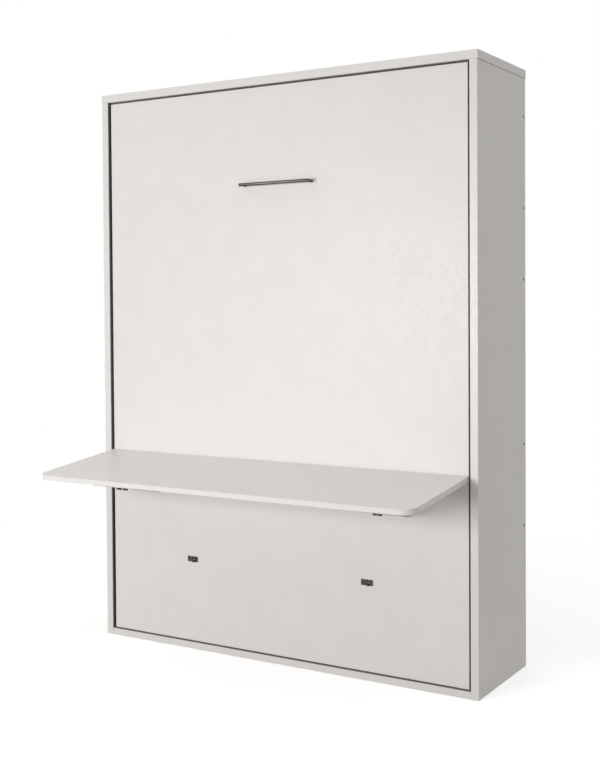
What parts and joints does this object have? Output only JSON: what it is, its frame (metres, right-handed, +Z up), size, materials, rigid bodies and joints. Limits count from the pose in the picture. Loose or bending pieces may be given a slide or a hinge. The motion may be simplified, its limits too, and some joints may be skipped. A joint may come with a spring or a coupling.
{
  "type": "wall bed with fold down desk",
  "caption": "Upright wall bed shut into a plain white cabinet, with a bar handle and a desk board that folds down flat against its front panel.",
  "frame": {"origin": "on the floor, under the middle of the cabinet's depth and width", "axes": "+Z up; +Y towards the wall behind the cabinet; +X to the right seen from the room"},
  "size_m": [1.584, 0.9061, 2.16],
  "materials": {
    "white_board": "white melamine-faced board, matt",
    "beech": "bare beech, satin",
    "screw_steel": "plain screw steel",
    "black_steel": "black powder coat, satin",
    "bright_steel": "turned steel",
    "zinc_steel": "zinc plated",
    "satin_steel": "satin brushed",
    "dark_spring_steel": "dark burnished spring steel",
    "grey_steel": "grey powder coat, satin",
    "black_rubber": "matt rubber",
    "black_plastic": "moulded nylon",
    "ticking": "woven mattress ticking, matt",
    "webbing": "woven webbing, matt"
  },
  "bodies": {
    "cabinet": {"side_panel_left": "white_board", "side_panel_right": "white_board", "top_panel": "white_board", "bottom_board": "white_board", "rear_rail_top": "white_board", "rear_rail_middle": "white_board", "rear_rail_bottom": "white_board", "cabinet_dowels": "beech", "rail_screws": "screw_steel", "pivot_plate_left": "black_steel", "pivot_plate_right": "black_steel", "pivot_pins": "bright_steel", "strut_anchor_left": "black_steel", "strut_anchor_right": "black_steel", "anchor_screws": "screw_steel", "closing_buffers": "black_rubber"},
    "bed": {"front_panel": "white_board", "side_tube_left": "black_steel", "side_tube_right": "black_steel", "head_tube": "black_steel", "foot_tube": "black_steel", "cross_tube_lower": "black_steel", "cross_tube_middle": "black_steel", "cross_tube_upper": "black_steel", "slats": "beech", "slat_holders": "black_plastic", "mattress": "ticking", "mattress_straps": "webbing", "pivot_bushes": "black_plastic", "strut_studs": "bright_steel", "leg_bolts": "bright_steel", "panel_screws": "screw_steel", "handle_bar": "satin_steel", "handle_posts": "satin_steel", "handle_screws": "screw_steel", "wall_leg_left": "zinc_steel", "wall_leg_right": "zinc_steel", "wall_leg_screws": "screw_steel", "stay_pins": "bright_steel", "desk_catch_left": "dark_spring_steel", "desk_catch_right": "dark_spring_steel"},
    "desk": {"desk_board": "white_board", "desk_leg_left": "zinc_steel", "desk_leg_right": "zinc_steel", "desk_leg_screws": "screw_steel", "stay_end_pins": "bright_steel", "catch_pegs": "bright_steel"},
    "leg_frame": {"leg_arm_left": "grey_steel", "leg_arm_right": "grey_steel", "leg_bar": "grey_steel", "leg_sleeves": "black_rubber"},
    "strut_cylinder_left": {"strut_cylinder_left": "black_steel"},
    "strut_cylinder_right": {"strut_cylinder_right": "black_steel"},
    "strut_rod_left": {"strut_rod_left": "bright_steel"},
    "strut_rod_right": {"strut_rod_right": "bright_steel"},
    "stay_lower_left": {"stay_lower_left": "zinc_steel"},
    "stay_lower_right": {"stay_lower_right": "zinc_steel"},
    "stay_upper_left": {"stay_upper_left": "zinc_steel"},
    "stay_upper_right": {"stay_upper_right": "zinc_steel"}
  },
  "joints": [
    {"name": "bed_fold", "type": "hinge", "parent": "cabinet", "child": "bed", "pos_m": [0, -0.185, 0.3], "axis": [1, 0, 0], "range_deg": [0, 90]},
    {"name": "desk_fold", "type": "hinge", "parent": "bed", "child": "desk", "pos_m": [0, -0.235, 0.713], "axis": [1, 0, 0], "range_deg": [0, 84.1]},
    {"name": "leg_swing", "type": "hinge", "parent": "bed", "child": "leg_frame", "pos_m": [0, -0.16, 1.95], "axis": [1, 0, 0], "range_deg": [0, 226.24]},
    {"name": "strut_tilt_left", "type": "hinge", "parent": "cabinet", "child": "strut_cylinder_left", "pos_m": [-0.7495, -0.09, 0.64], "axis": [1, 0, 0], "range_deg": [0, 18.04]},
    {"name": "strut_slide_left", "type": "slide", "parent": "strut_cylinder_left", "child": "strut_rod_left", "axis": [0, -0.1414, -0.9899], "range_m": [-0.17526, 0]},
    {"name": "stay_lower_left", "type": "hinge", "parent": "bed", "child": "stay_lower_left", "pos_m": [-0.535, -0.235, 0.6], "axis": [1, 0, 0], "range_deg": [0, 101.52]},
    {"name": "stay_upper_left", "type": "hinge", "parent": "desk", "child": "stay_upper_left", "pos_m": [-0.535, -0.60304, 0.67497], "axis": [1, 0, 0], "range_deg": [-162.6, 0]},
    {"name": "strut_tilt_right", "type": "hinge", "parent": "cabinet", "child": "strut_cylinder_right", "pos_m": [0.7495, -0.09, 0.64], "axis": [1, 0, 0], "range_deg": [0, 18.04]},
    {"name": "strut_slide_right", "type": "slide", "parent": "strut_cylinder_right", "child": "strut_rod_right", "axis": [0, -0.1414, -0.9899], "range_m": [-0.17526, 0]},
    {"name": "stay_lower_right", "type": "hinge", "parent": "bed", "child": "stay_lower_right", "pos_m": [0.535, -0.235, 0.6], "axis": [1, 0, 0], "range_deg": [0, 101.52]},
    {"name": "stay_upper_right", "type": "hinge", "parent": "desk", "child": "stay_upper_right", "pos_m": [0.535, -0.60304, 0.67497], "axis": [1, 0, 0], "range_deg": [-162.6, 0]}
  ],
  "couplings": [
    {"joint": "leg_swing", "follows": "bed_fold", "ratio": 2.5137},
    {"joint": "strut_tilt_left", "follows": "bed_fold", "ratio": 0.20038},
    {"joint": "strut_slide_left", "follows": "bed_fold", "m_per_rad": -0.11154},
    {"joint": "stay_lower_left", "follows": "desk_fold", "ratio": 1.2071},
    {"joint": "stay_upper_left", "follows": "desk_fold", "ratio": -1.9333},
    {"joint": "strut_tilt_right", "follows": "bed_fold", "ratio": 0.20038},
    {"joint": "strut_slide_right", "follows": "bed_fold", "m_per_rad": -0.11154},
    {"joint": "stay_lower_right", "follows": "desk_fold", "ratio": 1.2071},
    {"joint": "stay_upper_right", "follows": "desk_fold", "ratio": -1.9333}
  ]
}
